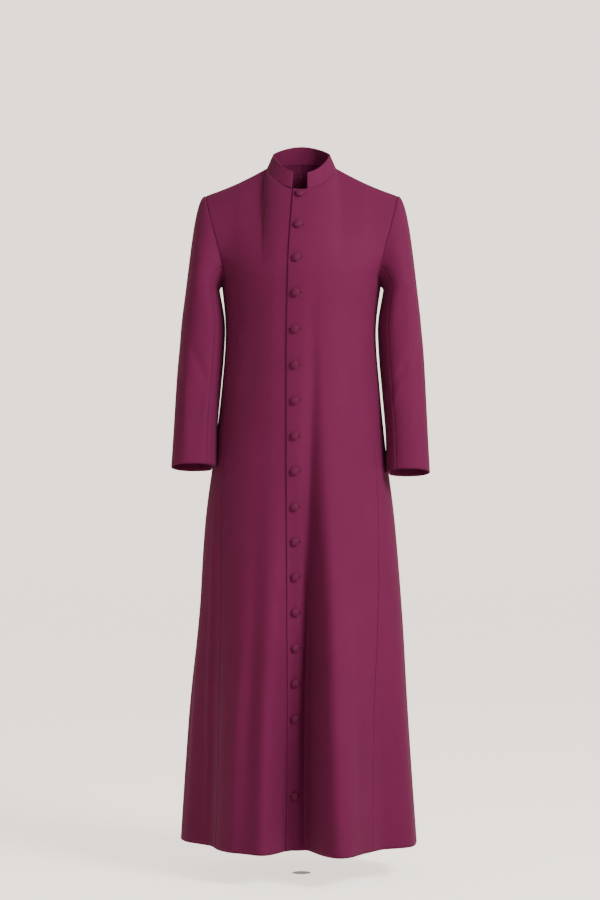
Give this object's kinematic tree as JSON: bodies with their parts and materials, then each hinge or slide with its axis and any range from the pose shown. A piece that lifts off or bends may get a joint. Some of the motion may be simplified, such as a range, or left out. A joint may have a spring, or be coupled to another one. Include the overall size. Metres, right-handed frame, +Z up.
{
  "type": "cassock",
  "caption": "Floor-length cassock, worn form held hollow: standing collar open at the front, buttoned front, set-in sleeves, flared skirt.",
  "frame": {"origin": "centre of the neck base, at the height of the neck seam's sides, where the wearer's neck and shoulders hold the garment", "axes": "+Z up, -Y the front, +X the wearer's left"},
  "size_m": [0.55, 0.4552, 1.4925],
  "materials": {
    "cassock_wool": "matte",
    "covered_button": "matte"
  },
  "bodies": {
    "root": {"front_left": "cassock_wool", "front_right": "cassock_wool", "side_body_left": "cassock_wool", "side_body_right": "cassock_wool", "back_left": "cassock_wool", "back_right": "cassock_wool", "collar": "cassock_wool", "sleeve_left_top": "cassock_wool", "sleeve_left_under": "cassock_wool", "sleeve_right_top": "cassock_wool", "sleeve_right_under": "cassock_wool", "button_01": "covered_button", "button_02": "covered_button", "button_03": "covered_button", "button_04": "covered_button", "button_05": "covered_button", "button_06": "covered_button", "button_07": "covered_button", "button_08": "covered_button", "button_09": "covered_button", "button_10": "covered_button", "button_11": "covered_button", "button_12": "covered_button", "button_13": "covered_button", "button_14": "covered_button", "button_15": "covered_button", "button_16": "covered_button", "button_17": "covered_button"}
  },
  "joints": []
}
